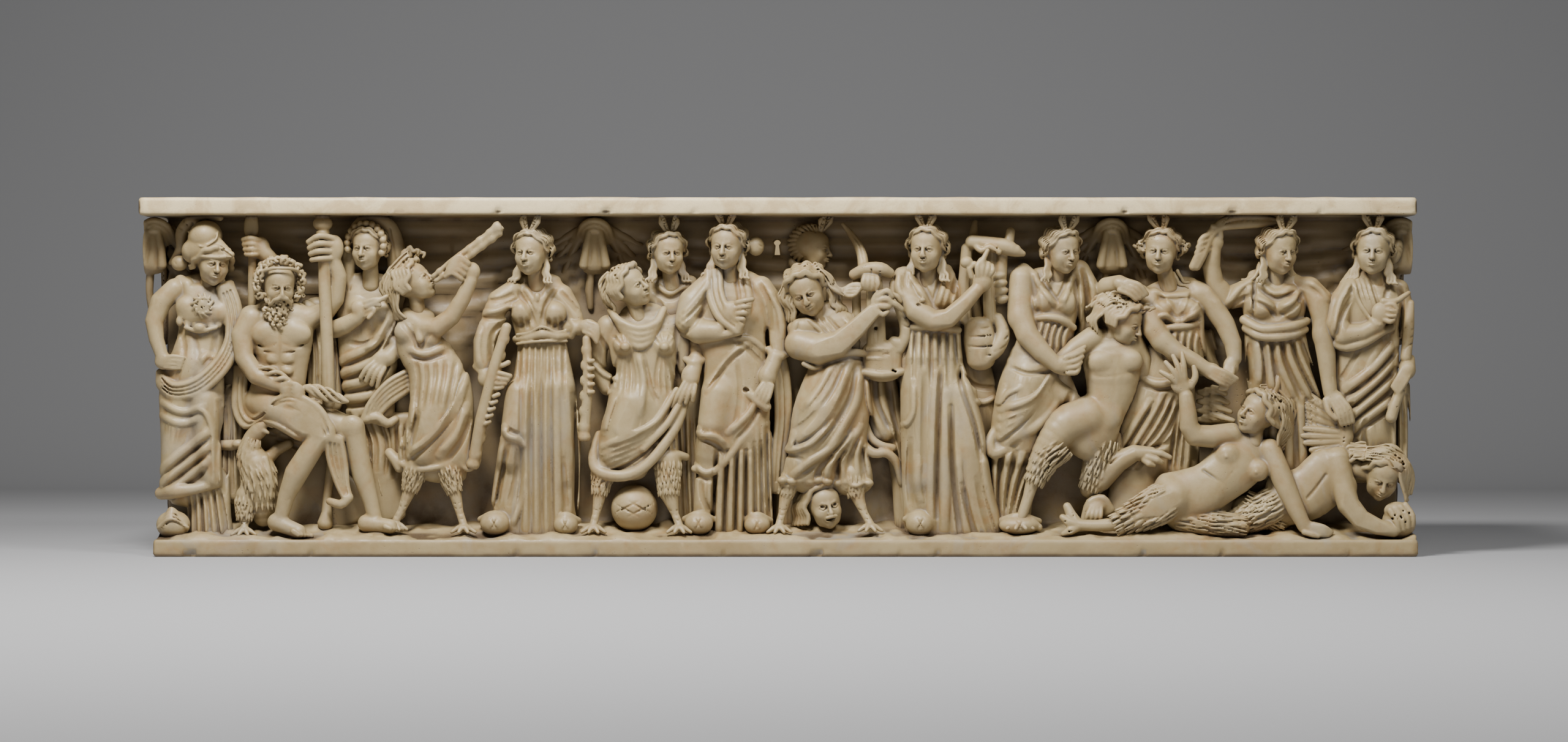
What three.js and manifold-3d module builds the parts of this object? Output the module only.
// A Roman marble sarcophagus chest, carved from one block: a hollow trough whose front shows eighteen
// figures in deep relief between an overhanging rim and a ledge, in front of a knotted curtain.
// Millimetres, +Z up, X along the front, the front faces -Y. The origin is the middle of the underside.

import * as THREE from 'three';
import { mergeVertices } from 'three/addons/utils/BufferGeometryUtils.js';
import Module from 'manifold-3d';

const wasm = await Module();
wasm.setup();

// ---------------------------------------------------------------- driving dimensions
const LENGTH = 1968;
const DEPTH = 572;
const HEIGHT = 552;
const RELIEF = 92;          // how far the rim and ledge stand in front of the relief's background
const RIM_HEIGHT = 27;
const LEDGE_HEIGHT = 27;
const GROUND_RISE = 22;     // the ground slopes up from the ledge's lip to the background
const RIM_OVERHANG_LEFT = 30;
const RIM_OVERHANG_RIGHT = 16;
const LEDGE_SETBACK_LEFT = 26;
const WALL_FRONT = 62;
const WALL_SIDE = 88;
const WALL_BACK = 76;
const FLOOR = 92;
const MOST_TRIANGLES = 9600;

const FRONT_Y = -DEPTH / 2;
const GROUND_Y = FRONT_Y + RELIEF;  // the plane that the figures are carved in front of
const HALF = LENGTH / 2;
const WALL_LEFT = -HALF + RIM_OVERHANG_LEFT;
const WALL_RIGHT = HALF - RIM_OVERHANG_RIGHT;
const RIM_UNDER = HEIGHT - RIM_HEIGHT;

// ---------------------------------------------------------------- solids
// A place in the relief: x along the front, z up, p forward from the background.
const at = (x, z, p) => new THREE.Vector3(x, GROUND_Y - p, z);

function solidFrom(geometry) {
  const bare = geometry.clone();
  bare.deleteAttribute('normal');
  bare.deleteAttribute('uv');
  const merged = mergeVertices(bare, 1e-4);
  return new wasm.Manifold(new wasm.Mesh({
    numProp: 3,
    vertProperties: new Float32Array(merged.attributes.position.array),
    triVerts: new Uint32Array(merged.index.array),
  }));
}

// Joins rings of points, each with the same count and turning the same way, into a closed skin.
function skin(rings) {
  const count = rings[0].length;
  const points = rings.flat();
  const faces = [];
  for (let r = 0; r + 1 < rings.length; r += 1) {
    for (let i = 0; i < count; i += 1) {
      const a = r * count + i;
      const b = r * count + (i + 1) % count;
      faces.push(a, b, a + count, b, b + count, a + count);
    }
  }
  const last = (rings.length - 1) * count;
  for (let i = 1; i + 1 < count; i += 1) {
    faces.push(0, i + 1, i);
    faces.push(last, last + i, last + i + 1);
  }
  const geometry = new THREE.BufferGeometry().setFromPoints(points);
  geometry.setIndex(faces);
  const solid = solidFrom(geometry);
  if (solid.volume() > 0) return solid;
  geometry.setIndex(faces.reverse());
  return solidFrom(geometry);
}

function box(x0, x1, y0, y1, z0, z1) {
  const geometry = new THREE.BoxGeometry(x1 - x0, y1 - y0, z1 - z0);
  geometry.translate((x0 + x1) / 2, (y0 + y1) / 2, (z0 + z1) / 2);
  return solidFrom(geometry);
}

// The directions across a spine at each of its points, in the plane of the relief and out of it.
function spineFrames(centres) {
  const out = new THREE.Vector3(0, -1, 0);
  return centres.map((centre, i) => {
    const ahead = centres[Math.min(i + 1, centres.length - 1)];
    const behind = centres[Math.max(i - 1, 0)];
    const along = ahead.clone().sub(behind).normalize();
    let across = new THREE.Vector3().crossVectors(along, out);
    if (across.length() < 0.05) across = new THREE.Vector3(1, 0, 0);
    across.normalize();
    return { across, forward: new THREE.Vector3().crossVectors(across, along).normalize() };
  });
}

// A round-sectioned limb through places [x, z, p, radius], blunt at both ends.
function limb(places, sides = 5) {
  const centres = places.map(([x, z, p]) => at(x, z, p));
  const frames = spineFrames(centres);
  const rings = [];
  const ring = (centre, frame, radius) => {
    const points = [];
    for (let i = 0; i < sides; i += 1) {
      const turn = ((i + 0.5) / sides) * 2 * Math.PI;
      points.push(centre.clone()
        .addScaledVector(frame.across, radius * Math.cos(turn))
        .addScaledVector(frame.forward, radius * Math.sin(turn)));
    }
    return points;
  };
  places.forEach((place, i) => rings.push(ring(centres[i], frames[i], place[3])));
  const endCap = (i, neighbour) => {
    const away = centres[i].clone().sub(centres[neighbour]).normalize();
    const tip = centres[i].clone().addScaledVector(away, 0.7 * places[i][3]);
    return ring(tip, frames[i], 0.5 * places[i][3]);
  };
  rings.unshift(endCap(0, 1));
  rings.push(endCap(places.length - 1, places.length - 2));
  return skin(rings);
}

// A body or garment through stations [x, z, p, half width, half depth]. Pleats ripple its front.
function trunk(stations, pleats = 0, pleatDepth = 0.13) {
  const centres = stations.map(([x, z, p]) => at(x, z, p));
  const frames = spineFrames(centres);
  const angles = [];
  if (pleats) {
    const steps = 2 * pleats;
    for (let i = 0; i <= steps; i += 1) angles.push([Math.PI * i / steps, i % 2 ? 1 - pleatDepth : 1]);
    angles.push([Math.PI * 1.3, 1], [Math.PI * 1.7, 1]);
  } else {
    for (let i = 0; i < 8; i += 1) angles.push([Math.PI * i / 4, 1]);
  }
  return skin(stations.map((station, s) => angles.map(([angle, share]) => centres[s].clone()
    .addScaledVector(frames[s].across, share * station[3] * Math.cos(angle))
    .addScaledVector(frames[s].forward, share * station[4] * Math.sin(angle)))));
}

// An egg of half sizes [x, z, p], turned in the relief's plane.
function blob(place, half, turnDeg = 0, detail = 0) {
  const geometry = new THREE.IcosahedronGeometry(1, detail);
  geometry.scale(half[0], half[2], half[1]);
  geometry.rotateY(THREE.MathUtils.degToRad(turnDeg));
  const centre = at(...place);
  geometry.translate(centre.x, centre.y, centre.z);
  return solidFrom(geometry);
}

// ---------------------------------------------------------------- parts of a figure
const direction = (x, z, p) => new THREE.Vector3(x, -p, z).normalize();

// A head of a given height at a place, looking along face with its crown along crown.
function head(place, size, face, crown, hair = 1) {
  const forward = direction(...face);
  const right = new THREE.Vector3().crossVectors(direction(...crown), forward).normalize();
  const up = new THREE.Vector3().crossVectors(forward, right);
  const frame = new THREE.Matrix4().makeBasis(right, up, forward).setPosition(at(...place));
  const part = (half, centre, detail) => {
    const geometry = new THREE.IcosahedronGeometry(size, detail);
    geometry.scale(...half);
    geometry.translate(...centre.map((share) => share * size));
    geometry.applyMatrix4(frame);
    return solidFrom(geometry);
  };
  const nose = new THREE.ConeGeometry(0.09 * size, 0.26 * size, 4);
  nose.translate(0, -0.02 * size, 0.37 * size);
  nose.applyMatrix4(frame);
  const parts = [
    part([0.34, 0.48, 0.4], [0, -0.03, 0.03], 1),
    solidFrom(nose),
  ];
  if (hair) parts.push(part([0.47 * hair, 0.42 * hair, 0.46 * hair], [0, 0.13, -0.1], 1));
  return parts;
}

// A closed or resting hand: a palm from the wrist towards the fingers' tips.
const hand = (from, to, width) => limb([[...from, width * 0.8], [...to, width * 0.6]], 4);

// The two plumes that each Muse wears above her brow.
const plumes = (x, z, p, lean = 0) => [-1, 1].map((side) => limb([
  [x + side * 3, z, p, 4.5],
  [x + side * 9 + lean, z + 24, p + 2, 3],
], 4));

// A foot or shoe showing under a hem, on the ledge.
const shoe = (x, z, half = [20, 13, 18]) => blob([x, z, 62], half);

// A bird's leg, from the feathered thigh down to a spread foot.
const birdLeg = (thigh, hock, foot) => [
  limb([thigh, hock, [foot[0], foot[1] + 8, foot[2], 6]], 5),
  limb([[foot[0] - 16, foot[1] - 4, foot[2] + 6, 4], [foot[0], foot[1] + 2, foot[2], 7],
    [foot[0] + 16, foot[1] - 4, foot[2] + 6, 4]], 4),
];

// Flight feathers fanned between two edges, each edge given as [root, tip].
function wing(root0, tip0, root1, tip1, count, radius) {
  const mix = (a, b, t) => a.map((value, i) => value + (b[i] - value) * t);
  return Array.from({ length: count }, (_, i) => {
    const t = i / (count - 1);
    return limb([[...mix(root0, root1, t), radius], [...mix(tip0, tip1, t), radius * 0.8]], 4);
  });
}

// A lyre: a sound box, two arms and a yoke between them.
function lyre(left, right, foot, top, p) {
  const width = right - left;
  const middle = foot + (top - foot) * 0.38;
  return [
    limb([[left + 8, foot + 8, p, 17], [left + 14, middle, p - 4, 15]], 4),
    limb([[right - 12, foot + 8, p, 15], [right - 6, middle, p - 4, 13]], 4),
    limb([[left + width * 0.16, middle, p - 6, 9], [left + width * 0.1, top, p, 7]], 4),
    limb([[right - width * 0.12, middle, p - 2, 8], [right - width * 0.2, top, p, 7]], 4),
    limb([[left, top - 4, p, 8], [right, top - 8, p, 7]], 5),
  ];
}

// ---------------------------------------------------------------- the figures, from left to right
const figures = {
  helmetedGoddess: () => [
    ...head([-870, 447, 50], 64, [0.42, -0.12, 0.9], [0.12, 0.99, 0.1], 0.95),
    blob([-880, 492, 48], [28, 24, 28], 0, 1),
    limb([[-884, 484, 50, 16], [-846, 467, 58, 6]], 5),
    limb([[-868, 526, 38, 6], [-898, 521, 40, 8], [-920, 498, 36, 8], [-920, 472, 30, 7], [-938, 455, 24, 5]], 4),
    limb([[-872, 432, 44, 13], [-878, 405, 38, 15]], 6),
    trunk([[-882, 420, 34, 30, 14], [-886, 388, 40, 42, 26], [-889, 332, 40, 34, 22], [-896, 285, 42, 42, 25],
      [-902, 245, 42, 50, 27]], 3, 0.08),
    trunk([[-902, 262, 40, 50, 28], [-908, 200, 42, 46, 28], [-902, 150, 44, 48, 30], [-903, 95, 40, 52, 26],
      [-903, 32, 38, 52, 22]], 5),
    limb([[-928, 408, 46, 15], [-964, 356, 52, 13], [-948, 308, 60, 9]]),
    hand([-946, 306, 62], [-918, 296, 66], 12),
    limb([[-845, 412, 40, 12], [-834, 360, 42, 12], [-856, 285, 54, 13], [-900, 250, 62, 14], [-950, 258, 50, 12]]),
    shoe(-928, 46),
    limb([[-852, 230, 22, 14], [-846, 95, 20, 14]], 4),
    limb([[-786, 432, 30, 12], [-790, 462, 36, 11], [-806, 480, 42, 11]]),
    limb([[-816, 522, 34, 7], [-812, 385, 26, 7]], 5),
  ],
  seatedGod: () => [
    ...head([-771, 420, 60], 70, [0.34, -0.16, 0.92], [0.05, 0.99, 0.1], 1.02),
    blob([-764, 382, 74], [22, 22, 18], 0, 1),
    trunk([[-772, 378, 44, 30, 16], [-771, 348, 48, 52, 26], [-766, 305, 46, 42, 24], [-770, 270, 44, 42, 26],
      [-778, 222, 44, 46, 28]]),
    limb([[-826, 356, 52, 17], [-808, 280, 62, 13], [-778, 262, 72, 11], [-746, 256, 76, 9]]),
    hand([-748, 258, 78], [-728, 262, 80], 12),
    limb([[-802, 286, 72, 7], [-770, 276, 78, 11], [-738, 262, 78, 7], [-700, 250, 78, 11], [-662, 240, 74, 5]]),
    limb([[-724, 360, 32, 16], [-680, 388, 40, 14], [-680, 440, 50, 11], [-698, 472, 56, 11]]),
    limb([[-701, 520, 60, 9], [-701, 500, 60, 8], [-693, 245, 62, 9]], 6),
    blob([-701, 511, 60], [15, 12, 14]),
    limb([[-790, 224, 50, 29], [-740, 215, 66, 26], [-698, 190, 74, 20], [-735, 130, 72, 18], [-764, 72, 68, 11]], 6),
    limb([[-768, 62, 66, 12], [-728, 40, 76, 11]], 5),
    limb([[-730, 226, 40, 28], [-656, 196, 58, 20], [-644, 130, 52, 17], [-630, 66, 50, 11]], 6),
    limb([[-634, 58, 50, 12], [-584, 47, 62, 10]], 5),
    limb([[-812, 206, 52, 12], [-780, 216, 70, 14], [-742, 232, 82, 12], [-700, 222, 84, 10], [-680, 170, 74, 11],
      [-666, 96, 66, 10]], 5),
    trunk([[-724, 370, 26, 18, 12], [-708, 300, 26, 20, 14], [-700, 230, 26, 20, 14]], 2),
    trunk([[-735, 190, 22, 44, 18], [-730, 60, 22, 50, 18]], 3),
  ],
  eagle: () => [
    limb([[-797, 62, 36, 14], [-798, 115, 46, 24], [-812, 160, 48, 19], [-800, 188, 52, 11], [-786, 202, 58, 6]], 6),
    limb([[-846, 168, 34, 9], [-836, 110, 30, 12]], 4),
    limb([[-760, 166, 40, 7], [-800, 140, 40, 12]], 4),
    ...birdLeg([-822, 88, 44, 13], [-822, 66, 50, 12], [-824, 38, 56]),
  ],
  veiledGoddess: () => [
    ...head([-632, 468, 42], 64, [-0.28, -0.04, 0.95], [0, 1, 0.05], 1),
    limb([[-652, 415, 22, 10], [-656, 480, 26, 10], [-628, 518, 34, 12], [-596, 480, 24, 14], [-592, 410, 20, 14]]),
    limb([[-632, 445, 36, 12], [-628, 415, 32, 14]]),
    trunk([[-626, 415, 28, 34, 14], [-632, 375, 32, 48, 20], [-635, 320, 32, 46, 20], [-636, 260, 30, 44, 20],
      [-622, 180, 26, 36, 18], [-606, 100, 24, 36, 16], [-604, 50, 22, 34, 16]], 3),
    limb([[-682, 352, 44, 13], [-648, 370, 54, 9]]),
    hand([-648, 370, 56], [-622, 390, 60], 10),
    limb([[-590, 330, 34, 13], [-600, 300, 44, 12]]),
    hand([-606, 298, 46], [-632, 268, 50], 11),
  ],
  sirenWithFlutes: () => [
    ...head([-562, 424, 60], 62, [0.86, 0.42, 0.3], [-0.5, 0.85, 0], 1),
    limb([[-582, 452, 58, 12], [-598, 405, 58, 12], [-582, 368, 60, 9]]),
    limb([[-550, 404, 56, 12], [-546, 372, 54, 14]]),
    trunk([[-552, 370, 50, 26, 16], [-556, 348, 52, 38, 24], [-548, 318, 50, 34, 22]]),
    limb([[-550, 350, 60, 16], [-492, 374, 70, 13], [-468, 430, 72, 9]]),
    hand([-466, 432, 74], [-488, 456, 76], 13),
    limb([[-518, 424, 74, 5], [-474, 466, 78, 7], [-428, 500, 78, 8], [-416, 512, 78, 13]], 5),
    trunk([[-540, 328, 50, 32, 22], [-516, 290, 52, 40, 25], [-511, 245, 54, 46, 28], [-520, 195, 54, 48, 28],
      [-530, 136, 48, 58, 22]], 5),
    limb([[-556, 292, 36, 10], [-610, 262, 40, 14], [-640, 222, 40, 9]]),
    limb([[-556, 268, 34, 10], [-600, 215, 38, 12]]),
    ...birdLeg([-556, 135, 50, 17], [-562, 112, 50, 11], [-588, 50, 48]),
    ...birdLeg([-512, 135, 48, 17], [-500, 105, 50, 11], [-484, 42, 56]),
  ],
  museWithFlutes: () => [
    ...head([-378, 464, 58], 66, [-0.28, -0.02, 0.95], [0, 1, 0.05], 1.05),
    ...plumes(-388, 500, 56, 8),
    limb([[-376, 440, 48, 13], [-370, 412, 40, 16]]),
    trunk([[-370, 418, 36, 34, 14], [-368, 385, 42, 46, 25], [-366, 342, 42, 38, 23]], 3, 0.08),
    trunk([[-365, 350, 42, 38, 25], [-362, 320, 44, 38, 24], [-362, 255, 44, 48, 27], [-366, 190, 44, 58, 29],
      [-372, 110, 42, 66, 26], [-378, 30, 38, 74, 22]], 7),
    limb([[-424, 400, 40, 18], [-458, 336, 46, 18], [-448, 284, 56, 13]]),
    hand([-444, 280, 60], [-424, 272, 68], 14),
    limb([[-410, 352, 64, 8], [-440, 262, 68, 8], [-468, 146, 56, 8], [-472, 138, 56, 13]], 5),
    limb([[-328, 400, 34, 17], [-310, 366, 36, 13], [-300, 356, 52, 11]]),
    hand([-300, 358, 56], [-280, 352, 62], 13),
    limb([[-293, 348, 62, 8], [-297, 196, 58, 8], [-298, 186, 58, 12]], 5),
    shoe(-437, 48), shoe(-327, 46, [18, 13, 16]),
  ],
  sirenSinging: () => [
    ...head([-227, 415, 62], 62, [0.62, 0.35, 0.7], [-0.62, 0.78, 0.1], 1.02),
    limb([[-218, 396, 56, 13], [-210, 365, 50, 15]]),
    limb([[-250, 368, 56, 8], [-214, 346, 70, 9], [-184, 372, 58, 8]]),
    trunk([[-208, 370, 42, 32, 16], [-212, 338, 48, 52, 26], [-208, 290, 50, 46, 28]]),
    trunk([[-208, 300, 50, 44, 28], [-210, 245, 52, 52, 31], [-215, 200, 52, 56, 32], [-218, 160, 52, 62, 30],
      [-225, 130, 46, 54, 24]], 5),
    limb([[-262, 346, 42, 17], [-274, 290, 36, 15], [-246, 252, 26, 12]]),
    limb([[-150, 215, 62, 9], [-205, 172, 76, 10], [-272, 142, 62, 10]]),
    trunk([[-158, 190, 34, 24, 18], [-160, 148, 34, 30, 18]], 3),
    ...birdLeg([-268, 130, 46, 16], [-274, 98, 48, 11], [-282, 42, 56]),
    ...birdLeg([-168, 142, 48, 19], [-166, 98, 52, 11], [-152, 40, 60]),
  ],
  globe: () => [blob([-222, 73, 40], [36, 36, 34], 0, 2)],
  museBehindSinger: () => [
    ...head([-166, 466, 40], 62, [0.24, -0.08, 0.95], [0, 1, 0.05], 1.05),
    ...plumes(-160, 494, 42, -6),
    limb([[-166, 442, 34, 12], [-162, 415, 28, 14]]),
    trunk([[-162, 418, 24, 38, 12], [-156, 370, 24, 46, 18], [-148, 300, 24, 42, 18], [-140, 200, 22, 38, 18],
      [-134, 60, 20, 34, 16]], 4),
    limb([[-126, 330, 30, 16], [-128, 300, 46, 13], [-138, 278, 54, 11]]),
    hand([-138, 276, 58], [-154, 240, 66], 12),
  ],
  museInMantle: () => [
    ...head([-78, 474, 56], 66, [-0.2, -0.03, 0.97], [0.03, 1, 0.05], 1.02),
    ...plumes(-82, 504, 56, 2),
    limb([[-76, 450, 48, 13], [-70, 420, 42, 17]]),
    trunk([[-70, 425, 38, 40, 16], [-74, 385, 46, 56, 27], [-72, 335, 46, 54, 27], [-66, 275, 46, 50, 28],
      [-64, 215, 46, 56, 30], [-66, 150, 44, 60, 28]], 4, 0.08),
    trunk([[-64, 165, 42, 56, 25], [-66, 100, 40, 58, 24], [-66, 30, 36, 62, 20]], 6),
    limb([[-116, 402, 48, 17], [-138, 352, 56, 18], [-84, 348, 66, 14]]),
    hand([-80, 350, 68], [-52, 384, 72], 14),
    limb([[-28, 410, 42, 17], [-4, 345, 42, 16], [-6, 298, 50, 14]]),
    hand([-6, 296, 54], [-20, 252, 62], 14),
    limb([[-112, 428, 50, 9], [-100, 380, 66, 10], [-66, 345, 76, 10]]),
    limb([[-12, 240, 56, 9], [-52, 195, 66, 9], [-100, 150, 56, 9]]),
    shoe(-122, 48), shoe(-34, 48),
  ],
  museInLowRelief: () => [
    ...head([56, 472, 14], 62, [0.96, -0.05, 0.25], [0, 1, 0], 1.02),
    limb([[68, 500, 14, 6], [74, 522, 14, 5]], 4),
    trunk([[48, 440, 6, 26, 12], [40, 380, 8, 36, 14], [20, 250, 8, 26, 14], [16, 60, 8, 24, 14]], 2),
  ],
  sirenWithLyre: () => [
    ...head([48, 402, 62], 66, [-0.2, -0.26, 0.93], [-0.38, 0.9, 0.2], 1.05),
    limb([[64, 440, 58, 10], [92, 412, 56, 9], [130, 420, 58, 6]]),
    limb([[8, 410, 46, 9], [20, 362, 44, 8]]),
    limb([[62, 375, 52, 13], [76, 352, 46, 15]]),
    trunk([[72, 358, 44, 34, 16], [82, 330, 48, 48, 24], [94, 298, 48, 36, 23]]),
    trunk([[94, 306, 48, 36, 25], [84, 265, 50, 46, 27], [74, 215, 52, 54, 30], [68, 165, 52, 60, 30],
      [76, 112, 46, 72, 24]], 6),
    limb([[32, 340, 54, 18], [50, 314, 70, 17], [104, 330, 76, 14], [146, 370, 78, 9]]),
    hand([144, 368, 78], [164, 386, 82], 13),
    ...lyre(132, 194, 280, 440, 66),
    limb([[128, 442, 56, 8], [124, 470, 40, 7], [101, 512, 26, 5]], 4),
    ...birdLeg([16, 120, 48, 15], [14, 98, 48, 10], [0, 42, 56]),
    ...birdLeg([112, 118, 48, 15], [118, 96, 48, 10], [142, 44, 56]),
    trunk([[146, 285, 26, 16, 16], [168, 200, 26, 26, 18], [184, 130, 22, 18, 14], [192, 60, 16, 12, 10]], 3),
  ],
  tragicMask: () => [blob([72, 76, 42], [34, 36, 32], 10, 1), limb([[84, 86, 68, 5], [86, 66, 74, 6]], 4)],
  museWithLyre: () => [
    ...head([228, 472, 58], 66, [-0.26, -0.02, 0.95], [0.02, 1, 0.05], 1.04),
    ...plumes(222, 504, 56, 0),
    limb([[230, 448, 48, 13], [234, 418, 42, 17]]),
    trunk([[234, 424, 36, 36, 14], [236, 388, 44, 48, 25], [234, 340, 44, 44, 24]], 3, 0.08),
    trunk([[234, 350, 44, 44, 25], [236, 300, 44, 46, 26], [240, 240, 46, 52, 28], [252, 170, 46, 66, 29],
      [262, 95, 42, 76, 26], [272, 30, 38, 84, 22]], 7),
    limb([[204, 408, 50, 18], [236, 378, 62, 16], [264, 358, 72, 13], [312, 412, 74, 9]]),
    hand([312, 412, 76], [320, 440, 78], 13),
    limb([[296, 450, 78, 8], [326, 470, 76, 4]], 4),
    ...lyre(286, 352, 308, 482, 52),
    limb([[340, 472, 58, 11], [374, 466, 60, 6]], 5),
    shoe(218, 48),
  ],
  museSeizingArm: () => [
    ...head([437, 468, 52], 64, [0.46, -0.08, 0.88], [0, 1, 0.05], 1.04),
    ...plumes(448, 500, 52, 0),
    limb([[434, 444, 44, 13], [430, 416, 38, 16]]),
    trunk([[430, 422, 34, 38, 14], [428, 388, 42, 46, 25], [418, 335, 42, 38, 23], [404, 290, 42, 44, 24]], 3, 0.08),
    trunk([[402, 295, 42, 42, 25], [386, 240, 42, 46, 28], [368, 195, 42, 44, 28], [362, 150, 40, 42, 24],
      [358, 65, 36, 36, 20]], 5),
    limb([[378, 424, 46, 18], [380, 350, 54, 14], [424, 300, 66, 10]]),
    hand([424, 300, 68], [452, 288, 72], 13),
    limb([[468, 430, 28, 14], [488, 380, 26, 14], [470, 320, 24, 14]]),
    limb([[488, 400, 30, 13], [508, 410, 44, 12], [540, 412, 58, 10], [562, 400, 64, 8]]),
    limb([[348, 46, 60, 12], [402, 44, 66, 9]]),
    limb([[392, 290, 52, 8], [440, 280, 40, 10], [420, 210, 40, 10], [366, 180, 60, 10]]),
  ],
  sirenSeized: () => [
    ...head([530, 362, 60], 64, [0.84, -0.28, 0.46], [0.1, 0.98, 0.1], 1.02),
    limb([[548, 392, 58, 8], [516, 394, 60, 10], [484, 362, 58, 9]]),
    limb([[514, 345, 52, 13], [508, 330, 46, 16]]),
    trunk([[508, 335, 44, 34, 18], [518, 298, 50, 44, 24], [512, 250, 50, 38, 22], [486, 205, 50, 46, 26],
      [462, 180, 48, 44, 24]]),
    limb([[486, 334, 54, 15], [434, 296, 56, 13], [454, 238, 40, 10]]),
    limb([[462, 190, 50, 28], [412, 152, 56, 20], [392, 118, 58, 11], [374, 62, 60, 7]]),
    limb([[500, 182, 40, 22], [490, 128, 34, 16]]),
    limb([[480, 98, 28, 13], [516, 136, 38, 13], [552, 160, 44, 11], [588, 158, 46, 8]]),
  ],
  musePluckingWing: () => [
    ...head([592, 464, 54], 66, [-0.22, -0.08, 0.95], [0.06, 0.99, 0.05], 1.02),
    ...plumes(578, 500, 54, -2),
    limb([[596, 440, 46, 13], [606, 412, 40, 16]]),
    trunk([[610, 410, 34, 40, 15], [614, 378, 42, 46, 24], [610, 335, 40, 38, 22], [606, 285, 38, 44, 22]], 3, 0.08),
    trunk([[604, 290, 36, 44, 22], [590, 230, 34, 52, 22], [572, 175, 30, 54, 20], [556, 110, 24, 50, 18],
      [540, 60, 20, 40, 16]], 5),
    limb([[580, 386, 50, 16], [600, 326, 62, 14], [664, 282, 68, 9]]),
    hand([662, 284, 70], [690, 266, 70], 12),
    limb([[654, 400, 42, 16], [696, 345, 46, 13], [704, 292, 56, 9]]),
    hand([704, 292, 58], [688, 262, 66], 12),
    limb([[476, 66, 36, 9], [490, 84, 38, 9], [510, 72, 36, 9]]),
  ],
  museWithPlume: () => [
    ...head([775, 466, 54], 64, [0.42, -0.14, 0.9], [0.02, 1, 0.05], 1.03),
    ...plumes(798, 500, 50, 0),
    limb([[772, 442, 46, 13], [770, 412, 38, 16]]),
    trunk([[768, 418, 34, 42, 15], [765, 385, 42, 48, 25], [764, 345, 42, 40, 24]], 3, 0.08),
    trunk([[764, 352, 42, 42, 26], [768, 300, 40, 46, 24], [776, 240, 36, 52, 22], [786, 150, 28, 48, 18]], 5),
    limb([[738, 405, 38, 15], [690, 396, 36, 15], [672, 460, 48, 11]]),
    hand([672, 462, 50], [662, 488, 58], 13),
    limb([[642, 448, 62, 6], [666, 492, 60, 7], [700, 522, 58, 8], [764, 516, 54, 5]]),
    limb([[826, 398, 46, 17], [842, 322, 50, 14], [850, 252, 52, 10]]),
    hand([850, 252, 54], [872, 216, 60], 13),
    limb([[722, 350, 56, 9], [764, 342, 70, 9], [808, 352, 58, 8]]),
  ],
  museWithScroll: () => [
    ...head([919, 466, 52], 66, [-0.2, -0.04, 0.96], [0.02, 1, 0.05], 1.03),
    ...plumes(910, 502, 52, 0),
    limb([[922, 442, 44, 13], [926, 412, 38, 17]]),
    trunk([[926, 418, 34, 42, 15], [918, 385, 42, 54, 24], [912, 335, 42, 50, 24], [906, 280, 40, 50, 24],
      [908, 210, 36, 52, 22], [920, 130, 26, 46, 18]], 5, 0.08),
    limb([[876, 396, 46, 18], [866, 342, 56, 18], [918, 348, 66, 14]]),
    hand([918, 350, 68], [944, 374, 72], 13),
    limb([[940, 378, 72, 6], [966, 398, 68, 4]], 4),
    limb([[962, 402, 36, 15], [970, 340, 36, 14], [972, 286, 46, 12]]),
    hand([974, 290, 52], [954, 244, 58], 13),
    limb([[978, 384, 40, 7], [968, 305, 48, 7]], 5),
    limb([[956, 250, 60, 6], [945, 216, 62, 8]], 5),
    trunk([[962, 240, 26, 14, 16], [966, 130, 24, 12, 16]], 2),
  ],
  sirenFallen: () => [
    ...head([736, 222, 60], 64, [-0.72, 0.34, 0.6], [0.5, 0.85, 0.1], 1.02),
    limb([[768, 250, 56, 14], [786, 215, 52, 14], [772, 170, 46, 11]]),
    limb([[772, 248, 56, 8], [774, 284, 54, 3]], 4),
    limb([[734, 196, 56, 13], [728, 178, 52, 15]]),
    trunk([[732, 172, 50, 34, 18], [708, 142, 58, 40, 26], [668, 108, 60, 36, 24], [632, 90, 60, 40, 26],
      [602, 84, 58, 38, 26]]),
    limb([[692, 186, 56, 15], [632, 184, 66, 14], [625, 246, 72, 9]]),
    hand([624, 248, 74], [610, 284, 76], 15),
    limb([[762, 162, 58, 15], [784, 96, 68, 13], [808, 48, 74, 9]]),
    hand([808, 48, 76], [844, 36, 82], 11),
    limb([[606, 84, 60, 28], [560, 62, 64, 24], [520, 48, 68, 12], [458, 42, 66, 8]]),
    limb([[452, 74, 62, 7], [450, 38, 64, 9]], 4),
    limb([[620, 52, 50, 16], [700, 46, 58, 18]], 5),
    ...wing([692, 212, 40], [650, 224, 40], [700, 258, 40], [662, 258, 38], 3, 8),
  ],
  sirenCollapsed: () => [
    ...head([934, 124, 62], 68, [0.3, -0.42, 0.86], [-0.05, 0.9, 0.42], 1.05),
    limb([[872, 162, 56, 9], [910, 164, 66, 12], [950, 152, 66, 12], [970, 116, 56, 10]]),
    trunk([[872, 148, 52, 26, 18], [850, 132, 56, 36, 24], [816, 98, 54, 36, 24], [772, 82, 48, 36, 24]]),
    limb([[862, 132, 66, 17], [880, 62, 80, 14], [936, 38, 82, 10]]),
    hand([936, 40, 82], [962, 56, 78], 16),
    blob([966, 52, 60], [18, 28, 22]),
    limb([[770, 78, 46, 26], [738, 62, 44, 22], [712, 52, 44, 16]]),
    limb([[866, 150, 50, 10], [870, 190, 50, 9], [872, 214, 52, 9]]),
    ...wing([852, 200, 44], [796, 258, 40], [850, 172, 44], [824, 166, 42], 6, 7),
  ],
};

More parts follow.
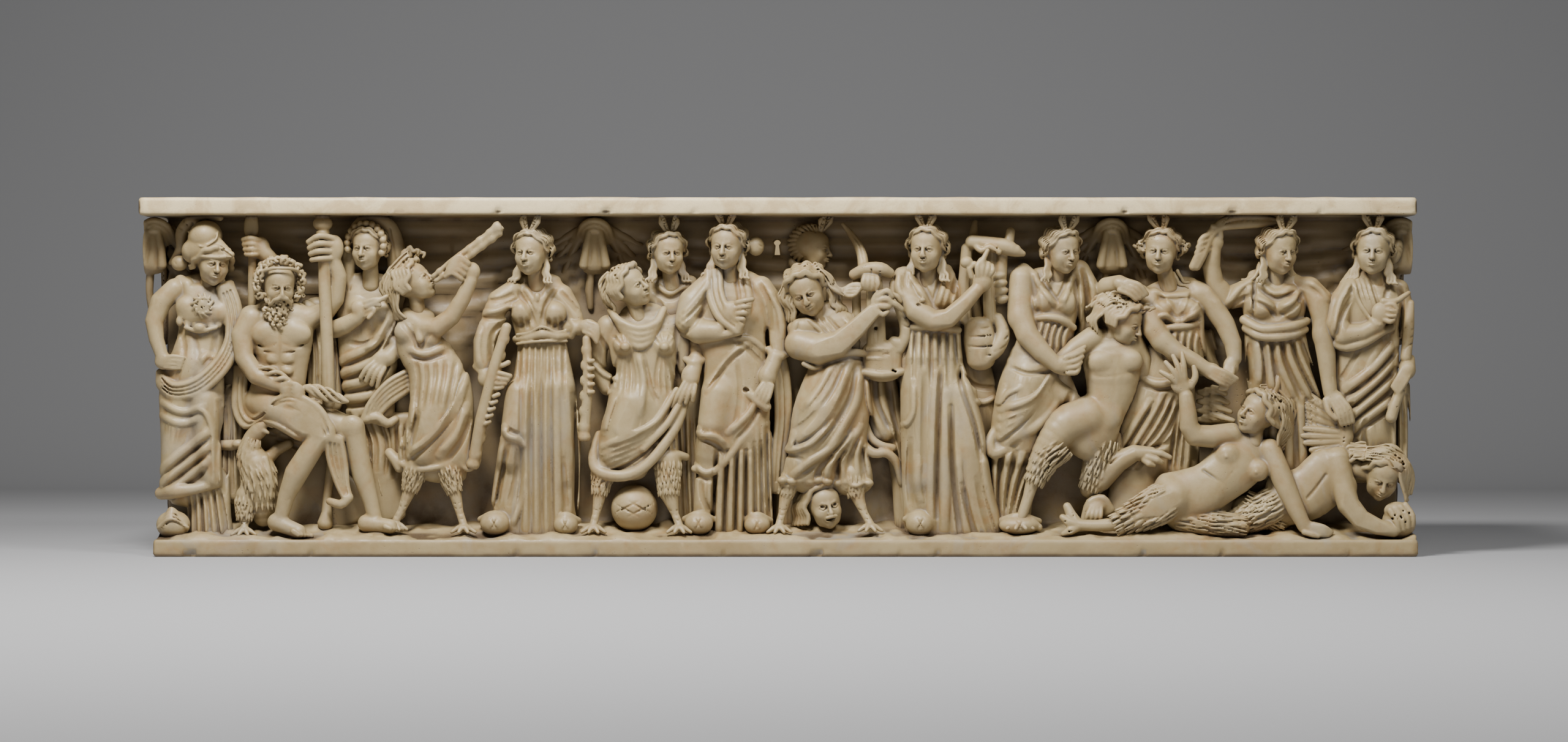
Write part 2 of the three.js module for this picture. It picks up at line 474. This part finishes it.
// ---------------------------------------------------------------- the block behind the figures
const CAVITY_CORNER = 45;
const CAVITY_HALF_LENGTH = HALF - WALL_SIDE - RIM_OVERHANG_LEFT / 2;
const CAVITY_FRONT = GROUND_Y + WALL_FRONT;
const CAVITY_BACK = DEPTH / 2 - WALL_BACK;
const KEYHOLE = { x: -1, z: 486, radius: 5.5, foot: 466, halfFoot: 4.5 };
const KNOTS = [-966, -284, 518, 966];

function cavity() {
  const [x, y0, y1, r] = [CAVITY_HALF_LENGTH, CAVITY_FRONT, CAVITY_BACK, CAVITY_CORNER];
  const plan = new THREE.Shape();
  plan.absarc(x - r, y1 - r, r, 0, Math.PI / 2);
  plan.absarc(-x + r, y1 - r, r, Math.PI / 2, Math.PI);
  plan.absarc(-x + r, y0 + r, r, Math.PI, 1.5 * Math.PI);
  plan.absarc(x - r, y0 + r, r, 1.5 * Math.PI, 2 * Math.PI);
  const geometry = new THREE.ExtrudeGeometry(plan, { depth: HEIGHT, bevelEnabled: false, curveSegments: 4 });
  geometry.translate(0, 0, FLOOR);
  return solidFrom(geometry);
}

function keyhole() {
  const { x, z, radius, foot, halfFoot } = KEYHOLE;
  const outline = new THREE.Shape();
  outline.moveTo(x - halfFoot, foot);
  outline.lineTo(x + halfFoot, foot);
  outline.absarc(x, z, radius, -Math.PI / 3, Math.PI * 4 / 3);
  const geometry = new THREE.ExtrudeGeometry(outline, { depth: 2 * WALL_FRONT, bevelEnabled: false, curveSegments: 6 });
  geometry.rotateX(Math.PI / 2);
  geometry.translate(0, CAVITY_FRONT + WALL_FRONT / 2, 0);
  return solidFrom(geometry);
}

// The ground that the figures stand on, rising from the ledge's lip to the wall.
function slope() {
  const profile = (x) => [
    new THREE.Vector3(x, FRONT_Y + 4, LEDGE_HEIGHT - 2),
    new THREE.Vector3(x, FRONT_Y + 10, LEDGE_HEIGHT + 3),
    new THREE.Vector3(x, GROUND_Y + 2, LEDGE_HEIGHT + GROUND_RISE),
    new THREE.Vector3(x, GROUND_Y + 2, LEDGE_HEIGHT - 2),
  ];
  return skin([profile(WALL_LEFT - 2), profile(WALL_RIGHT)]);
}

function block() {
  const back = DEPTH / 2;
  return [
    box(WALL_LEFT, WALL_RIGHT, GROUND_Y, back, 0, HEIGHT),
    box(-HALF, HALF, FRONT_Y, back, RIM_UNDER, HEIGHT),
    box(-HALF + LEDGE_SETBACK_LEFT, HALF, FRONT_Y, back, 0, LEDGE_HEIGHT),
    slope(),
  ];
}

// The curtain hung behind the figures: shallow folds that sag from knot to knot, and tied tails at the knots.
function curtain() {
  const folds = [];
  for (let span = 0; span + 1 < KNOTS.length; span += 1) {
    const [from, to] = [KNOTS[span], KNOTS[span + 1]];
    for (const [drop, sag] of [[14, 14], [30, 36], [48, 62]]) {
      const top = RIM_UNDER - drop;
      folds.push(limb([[from, top, 0, 5], [(3 * from + to) / 4, top - 0.8 * sag, 1, 6],
        [(from + 3 * to) / 4, top - 0.8 * sag, 1, 6], [to, top, 0, 5]], 4));
    }
  }
  const tails = KNOTS.flatMap((x) => {
    const inward = Math.abs(x) > WALL_RIGHT - 20 ? Math.sign(x) * -8 : 0;
    return [
      limb([[x - 12, 508, 24, 12], [x + 12, 508, 24, 12]], 5),
      limb([[x, 505, 22, 9], [x + inward, 456, 22, 15]], 5),
      limb([[x + inward, 456, 6, 14], [x + 2 * inward, 380, 2, 10]], 4),
    ];
  });
  return [...folds, ...tails];
}

// ---------------------------------------------------------------- fewer facets
// Collapses edges, cheapest first, until a closed mesh has at most `limit` triangles. The cost of moving a vertex
// is its squared distance from the planes of the faces that it stands for, so flat areas thin out first.
function simplify(positions, triangles, limit) {
  const vertexCount = positions.length / 3;
  const corners = Array.from(triangles);
  const place = Float64Array.from(positions);
  const quadric = new Float64Array(vertexCount * 10);
  const facesAt = Array.from({ length: vertexCount }, () => new Set());
  const version = new Uint32Array(vertexCount);
  const point = (v) => [place[3 * v], place[3 * v + 1], place[3 * v + 2]];
  const minus = (a, b) => [a[0] - b[0], a[1] - b[1], a[2] - b[2]];
  const dot = (a, b) => a[0] * b[0] + a[1] * b[1] + a[2] * b[2];
  const cross = (a, b) => [a[1] * b[2] - a[2] * b[1], a[2] * b[0] - a[0] * b[2], a[0] * b[1] - a[1] * b[0]];
  const normalOf = (a, b, c) => cross(minus(b, a), minus(c, a));

  for (let f = 0; f < corners.length / 3; f += 1) {
    const [a, b, c] = corners.slice(3 * f, 3 * f + 3);
    const normal = normalOf(point(a), point(b), point(c));
    const area = Math.hypot(...normal);
    const [nx, ny, nz] = normal.map((value) => value / Math.max(area, 1e-12));
    const d = -dot([nx, ny, nz], point(a));
    const terms = [nx * nx, nx * ny, nx * nz, nx * d, ny * ny, ny * nz, ny * d, nz * nz, nz * d, d * d];
    for (const v of [a, b, c]) {
      facesAt[v].add(f);
      terms.forEach((term, i) => { quadric[10 * v + i] += area * term; });
    }
  }

  const costAt = (a, b, [x, y, z]) => {
    const q = (i) => quadric[10 * a + i] + quadric[10 * b + i];
    return q(0) * x * x + 2 * q(1) * x * y + 2 * q(2) * x * z + 2 * q(3) * x + q(4) * y * y
      + 2 * q(5) * y * z + 2 * q(6) * y + q(7) * z * z + 2 * q(8) * z + q(9);
  };
  const heap = [];
  const swap = (i, j) => { [heap[i], heap[j]] = [heap[j], heap[i]]; };
  const push = (item) => {
    heap.push(item);
    let i = heap.length - 1;
    while (i > 0 && heap[(i - 1) >> 1].cost > heap[i].cost) {
      swap(i, (i - 1) >> 1);
      i = (i - 1) >> 1;
    }
  };
  const pop = () => {
    swap(0, heap.length - 1);
    const item = heap.pop();
    let i = 0;
    for (;;) {
      let least = i;
      for (const child of [2 * i + 1, 2 * i + 2]) {
        if (child < heap.length && heap[child].cost < heap[least].cost) least = child;
      }
      if (least === i) return item;
      swap(i, least);
      i = least;
    }
  };
  const offer = (a, b) => {
    const [pa, pb] = [point(a), point(b)];
    const middle = pa.map((value, i) => (value + pb[i]) / 2);
    const span = minus(pa, pb);
    const best = [middle, pa, pb].map((to) => ({ to, cost: costAt(a, b, to) + 1e-6 * dot(span, span) }))
      .reduce((least, next) => (next.cost < least.cost ? next : least));
    push({ a, b, ...best, stampA: version[a], stampB: version[b] });
  };
  const neighbours = (v) => {
    const found = new Set();
    for (const f of facesAt[v]) for (let i = 0; i < 3; i += 1) found.add(corners[3 * f + i]);
    found.delete(v);
    return found;
  };
  for (let v = 0; v < vertexCount; v += 1) for (const n of neighbours(v)) if (v < n) offer(v, n);

  const keepsItsSide = (v, other, to) => [...facesAt[v]].every((f) => {
    const ring = corners.slice(3 * f, 3 * f + 3);
    if (ring.includes(other)) return true;
    const before = normalOf(...ring.map(point));
    const after = normalOf(...ring.map((w) => (w === v ? to : point(w))));
    return dot(before, after) > 0.35 * Math.hypot(...before) * Math.hypot(...after);
  });
  let left = corners.length / 3;
  while (left > limit && heap.length) {
    const { a, b, to, stampA, stampB } = pop();
    if (version[a] !== stampA || version[b] !== stampB) continue;
    const around = neighbours(b);
    const shared = [...neighbours(a)].filter((v) => around.has(v));
    if (shared.length !== 2 || !keepsItsSide(a, b, to) || !keepsItsSide(b, a, to)) continue;
    for (const f of [...facesAt[b]]) {
      const ring = corners.slice(3 * f, 3 * f + 3);
      if (ring.includes(a)) {
        ring.forEach((v) => facesAt[v].delete(f));
        left -= 1;
      } else {
        corners[3 * f + ring.indexOf(b)] = a;
        facesAt[a].add(f);
      }
    }
    facesAt[b].clear();
    place.set(to, 3 * a);
    for (let i = 0; i < 10; i += 1) quadric[10 * a + i] += quadric[10 * b + i];
    version[a] += 1;
    version[b] += 1;
    for (const n of neighbours(a)) offer(a, n);
  }
  const kept = new Set(facesAt.flatMap((faces) => [...faces]));
  return { positions: new Float32Array(place), triangles: [...kept].flatMap((f) => corners.slice(3 * f, 3 * f + 3)) };
}

// ---------------------------------------------------------------- one carved block
// Keeps the outer skin and fills any sealed pocket left between the forms.
function outerShell({ vertProperties, triVerts }) {
  const owner = Array.from({ length: vertProperties.length / 3 }, (_, i) => i);
  const find = (i) => {
    while (owner[i] !== i) {
      owner[i] = owner[owner[i]];
      i = owner[i];
    }
    return i;
  };
  for (let t = 0; t < triVerts.length; t += 3) {
    owner[find(triVerts[t + 1])] = find(triVerts[t]);
    owner[find(triVerts[t + 2])] = find(triVerts[t]);
  }
  const shells = new Map();
  for (let t = 0; t < triVerts.length; t += 3) {
    const key = find(triVerts[t]);
    if (!shells.has(key)) shells.set(key, []);
    shells.get(key).push(triVerts[t], triVerts[t + 1], triVerts[t + 2]);
  }
  return [...shells.values()].reduce((a, b) => (a.length > b.length ? a : b));
}

const marble = new THREE.MeshStandardMaterial({ color: 0xd2c4a6, roughness: 0.55, metalness: 0 });
marble.name = 'marble';

function carvedChest() {
  const forms = [...block(), ...curtain()];
  for (const build of Object.values(figures)) forms.push(...build());
  const whole = wasm.Manifold.union(forms)
    .intersect(box(-HALF, HALF, FRONT_Y, DEPTH / 2, 0, HEIGHT))
    .subtract(cavity())
    .subtract(keyhole());
  const mesh = whole.getMesh();
  const { positions, triangles } = simplify(mesh.vertProperties, outerShell(mesh), MOST_TRIANGLES);
  const geometry = new THREE.BufferGeometry();
  geometry.setAttribute('position', new THREE.BufferAttribute(positions, 3));
  geometry.setIndex(triangles);
  const chest = new THREE.Mesh(geometry, marble);
  chest.name = 'sarcophagus_chest';
  return chest;
}

const sarcophagus = new THREE.Group();
sarcophagus.add(carvedChest());

export default sarcophagus;
